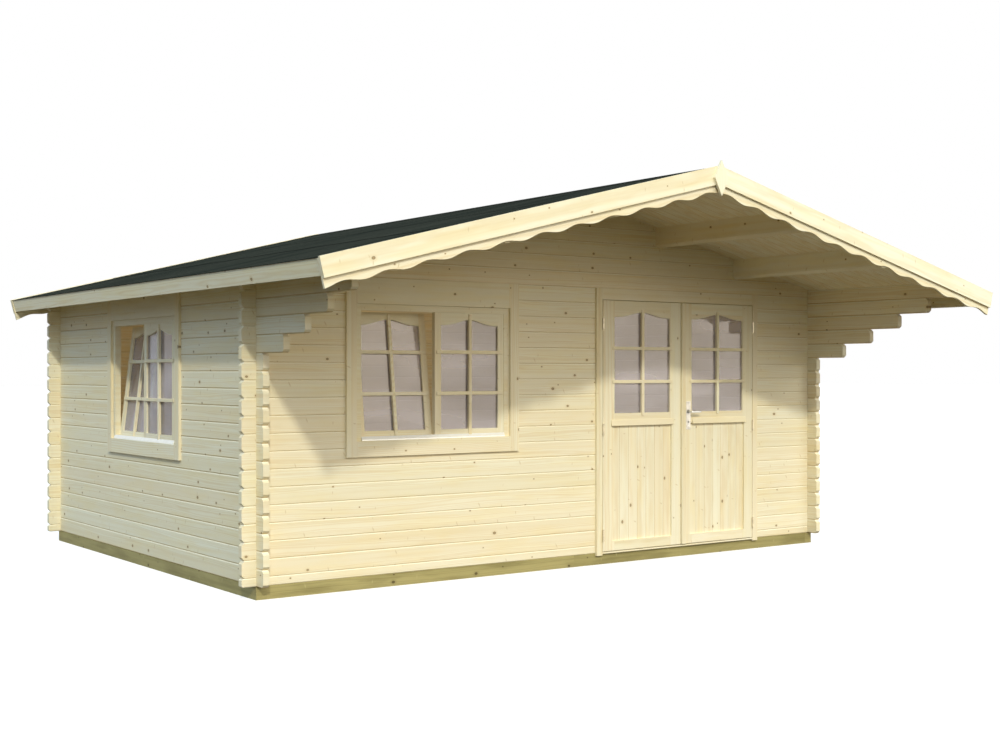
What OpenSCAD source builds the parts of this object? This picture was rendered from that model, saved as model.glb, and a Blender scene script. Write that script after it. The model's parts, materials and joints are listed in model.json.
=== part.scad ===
// Log cabin with a double door, two windows and a deep porch under its front gable.
// All sizes are in millimetres.
// The origin is at ground level, in the middle of the walls' footprint.
// +X is to the right seen from the front, the front gable faces -Y and +Z is up.

/* [Walls] */
// Width over the outside faces of the side walls
wall_w = 5168; // [4900:2:5600]
// Depth over the outside faces of the front and back walls
wall_d = 3846; // [3400:2:4400]
// Height of one course of logs
log_h = 114; // [110:1:120]
// Thickness of a log
log_t = 44; // [38:1:50]
// Courses of logs in a side wall
courses = 18; // [18:1:20]
// Length of the crossed log ends beyond the wall faces
log_end = 100; // [60:1:115]
// Chamfer along the long edges of a log
log_chamfer = 5; // [2:0.5:8]
// Bevel on the free ends of a log
end_bevel = 20; // [6:1:26]
// Corbel logs under each side of the porch roof
corbels = 4; // [2:1:4]
// Reach of each corbel log beyond the one below it
corbel_step = 280; // [200:5:320]

/* [Base] */
// Height of the bearers and joists
base_h = 86; // [60:1:120]
// Width of a bearer under the walls
bearer_w = 70; // [60:1:100]
// Width of a floor joist
joist_w = 45; // [35:1:70]
// Distance from joist to joist
joist_pitch = 507; // [400:1:540]
// Thickness of the floor boards
floor_t = 18; // [16:1:22]

/* [Roof] */
// Slope of the roof in degrees
roof_pitch = 14; // [12:0.5:18]
// Depth of the porch roof in front of the front wall
porch_d = 1480; // [1420:5:1800]
// Overhang of the roof boards behind the back wall
rear_overhang = 120; // [117:1:300]
// Overhang of the roof boards beyond the side walls
eave_overhang = 333; // [200:1:420]
// Thickness of the roof boards
roof_board_t = 18; // [16:1:28]
// Thickness of the roof felt
felt_t = 3; // [2:0.5:8]
// Overhang of the felt beyond the eave boards
felt_overhang = 5; // [3:1:12]
// Width of a purlin
purlin_w = 70; // [60:1:80]
// Depth of a purlin
purlin_h = 138; // [120:1:180]
// Chamfer along the lower edges of a purlin
purlin_chamfer = 20; // [5:1:25]
// Distance from purlin to purlin, measured on the level
purlin_pitch = 845; // [780:1:880]

/* [Trim] */
// Thickness of the bargeboards, wave boards, eave boards and finials
trim_t = 18; // [15:1:25]
// Height of a bargeboard, square to the slope
barge_h = 119; // [90:1:130]
// Rise of a bargeboard above the felt
barge_lip = 5.5; // [1:0.5:8]
// Reach of a bargeboard beyond the eave board, along the slope
barge_reach = 7; // [6:1:30]
// Mean drop of the wave boards below the roof boards, square to the slope
wave_drop = 139; // [125:1:160]
// Height of a wave from its lowest to its highest point
wave_h = 21; // [12:1:40]
// Length of a wave along the slope, counted from the ridge
wave_l = 277; // [220:1:320]
// Height of an eave board, square to the slope
eave_board_h = 97; // [80:1:110]
// Width of a finial
finial_w = 122; // [100:1:150]
// Height of a finial
finial_h = 233; // [200:1:280]
// Rise of a finial above the bargeboards' meeting point
finial_rise = 31; // [20:1:50]

/* [Door] */
// Distance of the door's centre from the outside of the right wall
door_inset = 1525; // [1480:1:1580]
// Width of a door leaf
leaf_w = 790; // [740:1:810]
// Thickness of a door leaf
leaf_t = 40; // [36:1:44]
// Height of a leaf's lower edge above the base
leaf_rise = 12; // [11:1:16]
// Gap between a leaf and the frame around it
jamb_gap = 5; // [5:0.5:6]
// Gap between the two leaves
meeting_gap = 8; // [7:0.5:10]
// Gap between a closed leaf and the stop behind it
stop_gap = 6; // [5:0.5:7]
// Width of the boards beside the door
door_casing_w = 57; // [50:1:64]
// Height of the board over the door
door_head_h = 86; // [70:1:110]
// Reach of the door's boards over the logs beside it
door_lap = 35; // [25:1:40]
// Drop of the door's boards below the top of the base
door_drop = 17; // [10:1:40]
// Drop of the threshold below the top of the base
threshold_drop = 5; // [0:1:10]
// Width of a stile beside the glass
leaf_stile_w = 112; // [100:1:120]
// Width of a stile beside the panel
panel_stile_w = 93; // [80:1:98]
// Height of a leaf's bottom rail
leaf_foot_h = 71; // [60:1:90]
// Height of the panel in the lower half of a leaf
panel_h = 879; // [800:1:900]
// Height of the rail between panel and glass
lock_rail_h = 89; // [80:1:120]
// Height of the top rail over the crown of the glass
leaf_top_h = 83; // [70:1:100]
// Width of the cover strip over the meeting edge
cover_w = 47; // [36:1:48]
// Thickness of the cover strip
cover_t = 14; // [10:1:18]

/* [Windows] */
// Distance of the front window's centre from the outside of the left wall
window_inset = 1354; // [1324:1:1400]
// Distance of the side window's centre from the middle of the left wall
window_y = -20; // [-120:1:120]
// Width of a window's opening in the logs
window_w = 1314; // [1260:1:1340]
// Courses of logs cut by a window
window_courses = 9; // [9:1:10]
// Courses of logs below the side window
sill_courses = 7; // [6:1:7]
// Width of a window frame's side member
frame_side_w = 70; // [60:1:80]
// Height of a window frame's foot
frame_foot_h = 59; // [52:1:66]
// Height of a window frame's head
frame_head_h = 105; // [95:1:130]
// Width of the boards beside a window
window_casing_w = 75; // [66:1:90]
// Height of the board under a window
window_foot_h = 107; // [100:1:115]
// Drop of the board under a window below its opening
window_foot_lap = 58; // [50:1:66]
// Height of the board over a window
window_head_h = 175; // [165:1:190]
// Reach of a window's boards over the logs beside it
window_lap = 50; // [40:1:60]
// Thickness of a sash
sash_t = 38; // [34:1:40]
// Width of a sash's stiles
sash_stile_w = 51; // [44:1:60]
// Height of a sash's bottom rail
sash_foot_h = 51; // [44:1:60]
// Height of a sash's top rail over the crown of the glass
sash_top_h = 46; // [36:1:60]
// Inward tilt of the open sash of each window, in degrees
sash_tilt = 7; // [1:0.5:9]
// Distance of the open sash's foot behind the closed sash
sash_back = 32; // [4:1:36]
// Height of the white strip in front of a window's sill
sill_strip_h = 28; // [16:1:34]
// Depth of the white strip in front of the wall
sill_strip_d = 12; // [8:1:18]

/* [Joinery] */
// Thickness of the boards around doors and windows
casing_t = 20; // [16:1:24]
// Thickness of the glass
glass_t = 4; // [4:1:6]
// Thickness of the lip in front of glass and panels
lip_t = 14; // [10:1:16]
// Depth of the rebate behind the lip
rebate = 10; // [6:1:14]
// Rise of the curved top of the glass from its shoulders to its crown
arch_rise = 41; // [20:1:55]
// Thickness of the lower door panels
panel_t = 16; // [12:1:20]

/* [Hardware] */
// Height of a hinge
hinge_h = 88; // [70:1:110]
// Radius of a hinge knuckle
knuckle_r = 7.5; // [6:0.25:7.5]
// Radius of a hinge pin
pin_r = 4; // [3:0.25:5]
// Distance of the hinge pins in front of the door
pin_out = 8; // [8:0.25:10]
// Depth of a hinge plate in the gap beside the leaf
hinge_plate_w = 28; // [22:1:34]
// Thickness of a hinge plate
hinge_plate_t = 1.5; // [1:0.25:1.5]
// Thickness of the lock plates
plate_t = 2.5; // [2:0.25:4]
// Height of the lowest hinge's middle above the leaf's lower edge
hinge_low = 121; // [100:1:180]
// Depth of the highest hinge's middle below the leaf's upper edge
hinge_high = 177; // [120:1:220]
// Width of a lock plate
lock_plate_w = 45; // [38:1:50]
// Height of a lock plate
lock_plate_h = 221; // [180:1:260]
// Height of a lock plate above the lever's axis
plate_above = 80; // [60:1:110]
// Distance of the lever's axis from the leaf's meeting edge
lever_x = 76; // [74:1:80]
// Height of the lever's axis above the middle of the rail between panel and glass
lever_rise = 45; // [20:1:60]
// Length of the lever from its axis
lever_l = 96; // [80:1:130]
// Radius of the lever
lever_r = 8; // [6:0.5:9]
// Distance of the lever's middle line in front of the leaf
lever_out = 46; // [36:1:60]

/* [Fits] */
// Gap between neighbouring pieces
fit = 0.4; // [0.2:0.1:0.8]
// Radial clearance of pins and spindles
pin_fit = 0.1; // [0.05:0.05:0.3]

/* [Hidden] */
$fn = 48;
wall_x = wall_w / 2;
wall_y = wall_d / 2;
slope = tan(roof_pitch);
wall_top = base_h + courses * log_h;
ridge_z = wall_top + (wall_x - log_t) * slope;
roof_front = -wall_y - porch_d;
roof_back = wall_y + rear_overhang;
roof_x = wall_x + eave_overhang;
eave_s = roof_x / cos(roof_pitch);
trim_s = eave_s + fit + trim_t;
door_x = wall_x - door_inset;
window_x = window_inset - wall_x;
corner_x = wall_x - log_t / 2;
corner_y = wall_y - log_t / 2;
window_h = window_courses * log_h;
front_sill_row = sill_courses + 1;
door_half = leaf_w + meeting_gap / 2 + jamb_gap;
door_rough = door_half + door_casing_w - door_lap;
door_top = base_h + (courses - 0.5) * log_h;
leaf_z = base_h + leaf_rise;
leaf_h = door_top - door_head_h - jamb_gap - leaf_z;
door_front = -wall_y - casing_t;
stop_y = door_front + leaf_t + stop_gap;
stop_w = 20;
threshold_h = leaf_rise - stop_gap;
pin_y = door_front - pin_out;
pin_x = leaf_w + (meeting_gap + jamb_gap) / 2;
hinge_z = [for (i = [0:2]) leaf_z + hinge_low + i * (leaf_h - hinge_low - hinge_high) / 2];
spindle_r = lever_r - 2;
// Distance that a cut runs past a face
past = 1;

spruce = "#ead9ae";
treated = "#96915f";
felt_grey = "#3a4140";
steel = "#b8bcc0";
white_metal = "#f2f2f0";
pane = "#b9b7c4";

// Height of a course line in the side walls, and of the roof's underside at x
function course_z(k) = base_h + k * log_h;
function under_z(x) = ridge_z - abs(x) * slope;

// Front and back rows straddle the side walls' course lines, so row 0 is half a log
function row_low(r) = course_z(max(r - 0.5, 0));
function row_high(r) = course_z(r + 0.5);

// Share of the arch's rise at a share of the way from its shoulder to its crown
function arch_share(t) = let (s = pow(max(t, 0), 1.3)) s * s * (3 - 2 * s);
function arch_opening(w, low, shoulder, steps = 24) = concat(
    [[-w / 2, low], [w / 2, low]],
    [for (i = [0:steps])
        let (x = w / 2 - w * i / steps)
        [x, shoulder + arch_rise * arch_share(1 - abs(2 * x / w))]]);

// A flat shape drawn in X and Z, given a thickness towards +Y
module upright(t) {
    translate([0, t, 0])
        rotate([90, 0, 0])
            linear_extrude(t)
                children();
}

// A flat shape drawn in Y and Z, given a length towards +X
module along_x(l) {
    rotate([90, 0, 90])
        linear_extrude(l)
            children();
}

// A log along X with its outside face on y = 0, cut to length and notched at its crossings
module log_piece(x0, x1, low, high, crossings = [], bevel0 = 0, bevel1 = 0) {
    z0 = low + fit / 2;
    z1 = high - fit / 2;
    notch_w = log_t + 2 * fit;
    notch_h = log_h / 4 + fit;
    intersection() {
        translate([x0, 0, 0])
            along_x(x1 - x0)
                log_profile(z0, z1);
        translate([0, -past, 0])
            upright(log_t + 2 * past)
                difference() {
                    polygon([[x0, z0 + bevel0], [x0 + bevel0, z0], [x1 - bevel1, z0], [x1, z0 + bevel1],
                        [x1, z1 - bevel1], [x1 - bevel1, z1], [x0 + bevel0, z1], [x0, z1 - bevel0]]);
                    for (c = crossings) {
                        translate([c - notch_w / 2, high - notch_h])
                            square([notch_w, notch_h + past]);
                        if (high - low > log_h * 0.75)
                            translate([c - notch_w / 2, low - past])
                                square([notch_w, notch_h + past]);
                    }
                }
    }
}

// Section of a log: flat top and bottom, with chamfers that leave a groove at each joint
module log_profile(z0, z1) {
    c = log_chamfer;
    polygon([[c, z0], [log_t - c, z0], [log_t, z0 + c], [log_t, z1 - c],
        [log_t - c, z1], [c, z1], [0, z1 - c], [0, z0 + c]]);
}

// Places logs made along X in each wall
module in_front_wall() {
    translate([0, -wall_y, 0])
        children();
}

module in_back_wall() {
    translate([0, wall_y - log_t, 0])
        children();
}

module in_left_wall() {
    translate([log_t - wall_x, 0, 0])
        rotate([0, 0, 90])
            children();
}

module in_right_wall() {
    translate([wall_x, 0, 0])
        rotate([0, 0, 90])
            children();
}

// Logs of the front or back wall, row by row, from x0 to x1, with bevels on the ends beyond the corners
module wall_rows(first, last, x0, x1) {
    for (r = [first:last]) {
        tall = row_high(r) - row_low(r) > log_h * 0.75;
        b = tall ? end_bevel : end_bevel / 2;
        log_piece(x0, x1, row_low(r), row_high(r),
            [for (c = [-corner_x, corner_x]) if (c > x0 && c < x1) c],
            x0 < -wall_x ? b : 0, x1 > wall_x ? b : 0);
    }
}

// Space under the roof boards
module under_roof() {
    reach = wall_x + log_end + log_t;
    translate([0, roof_front, 0])
        upright(roof_back - roof_front)
            polygon([[-reach, 0], [reach, 0], [reach, under_z(reach) - fit],
                [0, ridge_z - fit], [-reach, under_z(reach) - fit]]);
}

// Logs of a gable, trimmed to the roof and notched round the purlins
module gable_rows() {
    first = courses;
    rows = floor((ridge_z - row_low(first)) / log_h);
    for (r = [first:first + rows - 1]) {
        last = r == first + rows - 1;
        half = min(wall_x + log_end, (ridge_z - row_low(r)) / slope);
        log_piece(-half, half, row_low(r), last ? ridge_z + log_h : row_high(r),
            r == first ? [-corner_x, corner_x] : []);
    }
}

module gable_logs() {
    difference() {
        intersection() {
            children();
            under_roof();
        }
        purlin_set(fit);
    }
}

// Course k of a side wall from y0 to y1
module side_log(k, y0, y1) {
    log_piece(y0, y1, course_z(k), course_z(k + 1),
        [for (c = [-corner_y, corner_y]) if (c > y0 && c < y1) c],
        y0 < -wall_y ? end_bevel : 0, y1 > wall_y ? end_bevel : 0);
}

// Front end of course k: plain, a corbel, or the top log that carries the eave of the porch
function side_front(k) = let (n = max(0, k - (courses - 2 - corbels)))
    k == courses - 1 ? roof_front + fit : -wall_y - log_end - n * corbel_step;
function side_back(k) = wall_y + (k == courses - 1 ? rear_overhang - fit : log_end);

module side_rows(first, last) {
    for (k = [first:last])
        side_log(k, side_front(k), side_back(k));
}

// The top log of a side wall is planed to the slope of the roof
module side_top_log() {
    k = courses - 1;
    log_piece(side_front(k), side_back(k), course_z(k), course_z(k + 1), [-corner_y, corner_y]);
}

module base_frame() {
    color(treated) {
        for (y = [-wall_y, wall_y - bearer_w])
            translate([-wall_x, y, 0])
                cube([wall_w, bearer_w, base_h]);
        for (x = [-wall_x, wall_x - bearer_w])
            translate([x, -wall_y + bearer_w + fit, 0])
                cube([bearer_w, wall_d - 2 * (bearer_w + fit), base_h]);
    }
}

module floor_joists() {
    inner = wall_w - 2 * bearer_w;
    beside = floor((inner / 2 - joist_w) / joist_pitch);
    color(treated)
        for (i = [-beside:beside])
            translate([i * joist_pitch - joist_w / 2, -wall_y + bearer_w + fit, 0])
                cube([joist_w, wall_d - 2 * (bearer_w + fit), base_h]);
}

module floor_boards() {
    size_x = wall_w - 2 * (log_t + fit);
    size_y = wall_d - 2 * (log_t + fit);
    color(spruce)
        translate([-size_x / 2, -size_y / 2, base_h])
            cube([size_x, size_y, floor_t]);
}

module front_lower_logs() {
    color(spruce)
        in_front_wall()
            wall_rows(0, front_sill_row - 1, -wall_x - log_end, door_x - door_rough);
}

module front_corner_logs() {
    color(spruce)
        in_front_wall()
            wall_rows(front_sill_row, front_sill_row + window_courses - 1,
                -wall_x - log_end, window_x - window_w / 2);
}

module front_middle_logs() {
    color(spruce)
        in_front_wall()
            wall_rows(front_sill_row, front_sill_row + window_courses - 1,
                window_x + window_w / 2, door_x - door_rough);
}

module front_right_logs() {
    color(spruce)
        in_front_wall()
            wall_rows(0, courses - 1, door_x + door_rough, wall_x + log_end);
}

module front_upper_logs() {
    color(spruce) {
        in_front_wall()
            wall_rows(front_sill_row + window_courses, courses - 1, -wall_x - log_end, door_x - door_rough);
        gable_logs()
            in_front_wall()
                gable_rows();
    }
}

module left_lower_logs() {
    color(spruce)
        in_left_wall()
            side_rows(0, sill_courses - 1);
}

module left_front_logs() {
    color(spruce)
        in_left_wall()
            for (k = [sill_courses:sill_courses + window_courses - 1])
                side_log(k, side_front(k), window_y - window_w / 2);
}

module left_rear_logs() {
    color(spruce)
        in_left_wall()
            for (k = [sill_courses:sill_courses + window_courses - 1])
                side_log(k, window_y + window_w / 2, side_back(k));
}

module left_upper_logs() {
    color(spruce) {
        in_left_wall()
            side_rows(sill_courses + window_courses, courses - 2);
        intersection() {
            in_left_wall()
                side_top_log();
            under_roof();
        }
    }
}

module right_wall_logs() {
    color(spruce) {
        in_right_wall()
            side_rows(0, courses - 2);
        intersection() {
            in_right_wall()
                side_top_log();
            under_roof();
        }
    }
}

module back_wall_logs() {
    color(spruce)
        in_back_wall()
            wall_rows(0, courses - 1, -wall_x - log_end, wall_x + log_end);
}

module back_gable_logs() {
    color(spruce)
        gable_logs()
            in_back_wall()
                gable_rows();
}

// A purlin under the roof boards at x, or the notch for it with some room around it
module purlin(x, room) {
    w = purlin_w + 2 * room;
    c = purlin_chamfer;
    left = x - w / 2;
    right = x + w / 2;
    top = room > 0 ? room + past : -fit;
    low = under_z(abs(x) + purlin_w / 2) - purlin_h - room;
    crown = x == 0 ? [[0, ridge_z + top]] : [];
    translate([0, roof_front + fit - room, 0])
        upright(roof_back - roof_front - 2 * (fit - room))
            polygon(concat([[left, low + c], [left + c, low], [right - c, low], [right, low + c]],
                [[right, under_z(right) + top]], crown, [[left, under_z(left) + top]]));
}

module purlin_set(room) {
    for (i = [-2:2])
        purlin(i * purlin_pitch, room);
}

module purlins() {
    color(spruce)
        purlin_set(0);
}

// Puts shapes drawn along the slope (X) and square to it (Z) on both halves of the roof
module both_slopes() {
    for (side = [0, 1])
        mirror([side, 0, 0])
            translate([0, 0, ridge_z])
                rotate([0, roof_pitch, 0])
                    children();
}

// Plumb cut at the ridge: distance along the slope at a height above the roof's underside
function ridge_s(n) = fit / 2 - n * slope;

// A layer of the roof between two heights above its underside, cut square at a distance along the slope
module roof_layer(n0, n1, end) {
    polygon([[ridge_s(n0), n0], [end, n0], [end, n1], [ridge_s(n1), n1]]);
}

module roof_boards() {
    color(spruce)
        both_slopes()
            translate([0, roof_front, 0])
                upright(roof_back - roof_front)
                    roof_layer(0, roof_board_t, eave_s);
}

module roof_felt() {
    n = roof_board_t + fit;
    color(felt_grey)
        both_slopes()
            translate([0, roof_front - trim_t - fit, 0])
                upright(roof_back - roof_front + 2 * (trim_t + fit))
                    roof_layer(n, n + felt_t, trim_s + felt_overhang);
}

module eave_boards() {
    color(spruce)
        both_slopes()
            translate([eave_s + fit, roof_front + fit, 0])
                upright(roof_back - roof_front - 2 * fit)
                    translate([0, roof_board_t - eave_board_h])
                        square([trim_t, eave_board_h]);
}

barge_top = roof_board_t + felt_t + fit + barge_lip;
barge_end = trim_s + barge_reach;

module bargeboard_pair() {
    both_slopes()
        upright(trim_t)
            polygon([[ridge_s(barge_top - barge_h), barge_top - barge_h], [barge_end, barge_top - barge_h],
                [barge_end, barge_top], [ridge_s(barge_top), barge_top]]);
}

// Lower edge of a wave board at a distance along the slope
function wave_n(s) = -wave_drop - wave_h / 2 * cos(360 * s / wave_l);

module wave_board_pair(steps = 12) {
    first = ridge_s(wave_n(ridge_s(-wave_drop)));
    count = round((barge_end - first) / wave_l * steps);
    both_slopes()
        upright(trim_t)
            polygon(concat([[barge_end, roof_board_t], [ridge_s(roof_board_t), roof_board_t]],
                [for (i = [0:count])
                    let (s = first + (barge_end - first) * i / count)
                    [s, wave_n(s)]]));
}

module finial_plate() {
    top = ridge_z + barge_top / cos(roof_pitch) + finial_rise;
    middle = top - finial_h / 2;
    upright(trim_t)
        polygon([[0, top], [finial_w / 2, middle], [0, top - finial_h], [-finial_w / 2, middle]]);
}

// Where the first, second and third layer of trim start: wave board, bargeboard, finial
function front_layer_y(i) = roof_front - i * (trim_t + fit);
function back_layer_y(i) = roof_back + fit + (i - 1) * (trim_t + fit);

module front_bargeboards() {
    color(spruce)
        translate([0, front_layer_y(2), 0])
            bargeboard_pair();
}

module front_wave_boards() {
    color(spruce)
        translate([0, front_layer_y(1), 0])
            wave_board_pair();
}

module front_finial() {
    color(spruce)
        translate([0, front_layer_y(3), 0])
            finial_plate();
}

module back_bargeboards() {
    color(spruce)
        translate([0, back_layer_y(2), 0])
            bargeboard_pair();
}

module back_wave_boards() {
    color(spruce)
        translate([0, back_layer_y(1), 0])
            wave_board_pair();
}

module back_finial() {
    color(spruce)
        translate([0, back_layer_y(3), 0])
            finial_plate();
}

// Jambs with stops, a head and a threshold, within the thickness of the front wall
module door_frame() {
    outer_y = -wall_y;
    inner_y = outer_y + log_t;
    stop_x = door_half - stop_w;
    jamb_x = door_rough - fit;
    low = base_h + fit;
    high = door_top - fit;
    head_z = leaf_z + leaf_h + jamb_gap;
    head_stop = head_z - stop_w;
    sill_z = base_h + threshold_h;
    sill_stop = low + floor_t;
    color(spruce) {
        for (side = [0, 1])
            translate([door_x, 0, 0])
                mirror([side, 0, 0])
                    translate([0, 0, low])
                        linear_extrude(high - low)
                            polygon([[door_half, outer_y], [jamb_x, outer_y], [jamb_x, inner_y],
                                [stop_x, inner_y], [stop_x, stop_y], [door_half, stop_y]]);
        translate([door_x - stop_x + fit, 0, 0])
            along_x(2 * (stop_x - fit)) {
                polygon([[outer_y, head_z], [stop_y, head_z], [stop_y, head_stop],
                    [inner_y, head_stop], [inner_y, high], [outer_y, high]]);
                polygon([[outer_y, low], [inner_y, low], [inner_y, sill_stop],
                    [stop_y, sill_stop], [stop_y, sill_z], [outer_y, sill_z]]);
            }
    }
}

// Boards on the outside of the wall round the door, and on the inside down to the floor
module door_casing() {
    head_z = leaf_z + leaf_h + jamb_gap;
    inner_y = -wall_y + log_t;
    color(spruce) {
        for (side = [0, 1])
            translate([door_x, 0, 0])
                mirror([side, 0, 0]) {
                    translate([door_half, door_front, base_h - door_drop])
                        cube([door_casing_w, casing_t, door_top - base_h + door_drop]);
                    translate([door_half - stop_w, inner_y, base_h + floor_t + fit])
                        cube([door_casing_w + stop_w, casing_t, door_top - base_h - floor_t - fit]);
                }
        translate([door_x - door_half + fit, door_front, head_z])
            cube([2 * (door_half - fit), casing_t, door_top - head_z]);
        translate([door_x - door_half + fit, door_front, base_h - threshold_drop])
            cube([2 * (door_half - fit), casing_t, threshold_drop + threshold_h]);
        translate([door_x - door_half + stop_w + fit, inner_y, head_z - stop_w])
            cube([2 * (door_half - stop_w - fit), casing_t, door_top - head_z + stop_w]);
    }
}

// Puts a leaf drawn from its hinge edge (x = 0) and its outside face (y = 0) in the doorway
module at_left_leaf() {
    translate([door_x - meeting_gap / 2 - leaf_w, door_front, leaf_z])
        children();
}

module at_right_leaf() {
    translate([door_x + meeting_gap / 2 + leaf_w, door_front, leaf_z])
        mirror([1, 0, 0])
            children();
}

glass_z = leaf_foot_h + panel_h + lock_rail_h;
leaf_shoulder = leaf_h - leaf_top_h - arch_rise;
leaf_glass_w = leaf_w - 2 * leaf_stile_w;
leaf_panel_w = leaf_w - 2 * panel_stile_w;
lever_z = glass_z - lock_rail_h / 2 + lever_rise;

// Frame of a leaf: openings for panel and glass, each with a lip outside and a rebate inside
module leaf_frame() {
    difference() {
        cube([leaf_w, leaf_t, leaf_h]);
        translate([leaf_w / 2, 0, 0]) {
            translate([-leaf_panel_w / 2, -past, leaf_foot_h])
                cube([leaf_panel_w, leaf_t, panel_h]);
            translate([-leaf_panel_w / 2 - rebate, lip_t, leaf_foot_h - rebate])
                cube([leaf_panel_w + 2 * rebate, leaf_t, panel_h + 2 * rebate]);
            translate([0, -past, 0])
                upright(leaf_t)
                    polygon(arch_opening(leaf_glass_w, glass_z, leaf_shoulder));
            translate([0, lip_t, 0])
                upright(leaf_t)
                    polygon(arch_opening(leaf_glass_w + 2 * rebate,
                        glass_z - rebate, leaf_shoulder + rebate));
        }
    }
}

module leaf_panel() {
    w = leaf_panel_w + 2 * (rebate - fit);
    translate([leaf_w / 2 - w / 2, lip_t, leaf_foot_h - rebate + fit])
        cube([w, panel_t, panel_h + 2 * (rebate - fit)]);
}

module leaf_glass() {
    grow = rebate - fit;
    translate([leaf_w / 2, lip_t, 0])
        upright(glass_t)
            polygon(arch_opening(leaf_glass_w + 2 * grow, glass_z - grow, leaf_shoulder + grow));
}

module left_leaf() {
    color(spruce)
        at_left_leaf()
            leaf_frame();
}

module left_leaf_panel() {
    color(spruce)
        at_left_leaf()
            leaf_panel();
}

module left_leaf_glass() {
    color(pane)
        at_left_leaf()
            leaf_glass();
}

// A bore from front to back through the right leaf's lock stile
module spindle_bore(r, y0, y1) {
    translate([leaf_w - lever_x, y0, lever_z])
        rotate([-90, 0, 0])
            cylinder(r = r, h = y1 - y0);
}

module right_leaf() {
    color(spruce)
        at_right_leaf()
            difference() {
                leaf_frame();
                spindle_bore(spindle_r + pin_fit, -past, leaf_t + past);
            }
}

module right_leaf_panel() {
    color(spruce)
        at_right_leaf()
            leaf_panel();
}

module right_leaf_glass() {
    color(pane)
        at_right_leaf()
            leaf_glass();
}

// Hinge halves are drawn for the left leaf, with the pin at the origin and the leaf towards +X
module knuckle_half(low, high) {
    translate([0, 0, low])
        cylinder(r = knuckle_r, h = high - low);
}

// A plate let into the gap, against the edge of the leaf
module hinge_plate(low, high) {
    translate([jamb_gap / 2 - fit - hinge_plate_t, 0, low])
        cube([hinge_plate_t, pin_out + hinge_plate_w, high - low]);
}

// Upper halves, bored for the pins and screwed to the leaf's edge
module leaf_hinge_halves() {
    for (z = hinge_z)
        translate([0, 0, z])
            difference() {
                union() {
                    knuckle_half(fit / 2, hinge_h / 2);
                    hinge_plate(fit / 2, hinge_h / 2);
                }
                cylinder(r = pin_r + pin_fit, h = hinge_h + past);
            }
}

// Lower halves with the pins, screwed to the edge of the frame
module frame_hinge_halves() {
    for (z = hinge_z)
        translate([0, 0, z]) {
            knuckle_half(-hinge_h / 2, -fit / 2);
            mirror([1, 0, 0])
                hinge_plate(-hinge_h / 2, -fit / 2);
            translate([0, 0, -hinge_h / 4])
                cylinder(r = pin_r, h = hinge_h * 3 / 4);
        }
}

module at_left_pin() {
    translate([door_x - pin_x, pin_y, 0])
        children();
}

module at_right_pin() {
    translate([door_x + pin_x, pin_y, 0])
        mirror([1, 0, 0])
            children();
}

module left_leaf_hinges() {
    color(steel)
        at_left_pin()
            leaf_hinge_halves();
}

module right_leaf_hinges() {
    color(steel)
        at_right_pin()
            leaf_hinge_halves();
}

module hinge_pins() {
    color(steel) {
        at_left_pin()
            frame_hinge_halves();
        at_right_pin()
            frame_hinge_halves();
    }
}

// Strip on the right leaf's meeting edge, with its outer edges planed off
module cover_strip() {
    c = cover_t / 2;
    color(spruce)
        at_right_leaf()
            translate([leaf_w - cover_w, 0, 0])
                linear_extrude(leaf_h)
                    polygon([[0, 0], [0, c - cover_t], [c, -cover_t], [cover_w - c, -cover_t],
                        [cover_w, c - cover_t], [cover_w, 0]]);
}

module lock_plates() {
    color(steel)
        at_right_leaf()
            difference() {
                for (y = [-plate_t, leaf_t])
                    translate([leaf_w - lever_x - lock_plate_w / 2, y, lever_z + plate_above - lock_plate_h])
                        cube([lock_plate_w, plate_t, lock_plate_h]);
                spindle_bore(lever_r + pin_fit, -plate_t - past, leaf_t + plate_t + past);
            }
}

// Levers on both faces of the right leaf, joined by a spindle
module door_lever() {
    color(steel)
        at_right_leaf() {
            spindle_bore(spindle_r, -plate_t - fit, leaf_t + plate_t + fit);
            spindle_bore(lever_r, -lever_out, -fit);
            spindle_bore(lever_r, leaf_t + fit, leaf_t + lever_out);
            for (y = [-lever_out, leaf_t + lever_out])
                translate([leaf_w - lever_x, y, lever_z]) {
                    sphere(r = lever_r);
                    rotate([0, -90, 0])
                        cylinder(r = lever_r, h = lever_l - lever_r);
                    translate([lever_r - lever_l, 0, 0])
                        sphere(r = lever_r);
                }
        }
}

// Window pieces are drawn seen from outside: X along the wall, Y inwards from its outside face,
// Z from the lower edge of the opening in the logs
module at_front_window() {
    translate([window_x, -wall_y, row_low(front_sill_row)])
        children();
}

module at_left_window() {
    translate([-wall_x, window_y, course_z(sill_courses)])
        rotate([0, 0, -90])
            children();
}

sash_open_w = window_w - 2 * frame_side_w;
sash_w = (sash_open_w - 3 * fit) / 2;
sash_z = frame_foot_h + fit;
sash_h = window_h - frame_head_h - fit - sash_z;
sash_y = (log_t - sash_t) / 2;

module window_frame() {
    color(spruce) {
        for (x = [-window_w / 2 + fit, sash_open_w / 2])
            translate([x, 0, fit])
                cube([frame_side_w - fit, log_t, window_h - 2 * fit]);
        translate([fit - sash_open_w / 2, 0, fit])
            cube([sash_open_w - 2 * fit, log_t, frame_foot_h - fit]);
        translate([fit - sash_open_w / 2, 0, window_h - frame_head_h])
            cube([sash_open_w - 2 * fit, log_t, frame_head_h - fit]);
    }
}

// Four boards round the window, on the outside and on the inside of the wall
module window_casing() {
    outer = window_w / 2 + window_lap;
    inner = outer - window_casing_w;
    low = -window_foot_lap;
    high = window_h + log_h;
    color(spruce)
        for (y = [-casing_t, log_t]) {
            for (x = [-outer, inner])
                translate([x, y, low])
                    cube([window_casing_w, casing_t, high - low]);
            translate([fit - inner, y, low])
                cube([2 * (inner - fit), casing_t, window_foot_h]);
            translate([fit - inner, y, high - window_head_h])
                cube([2 * (inner - fit), casing_t, window_head_h]);
        }
}

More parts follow.
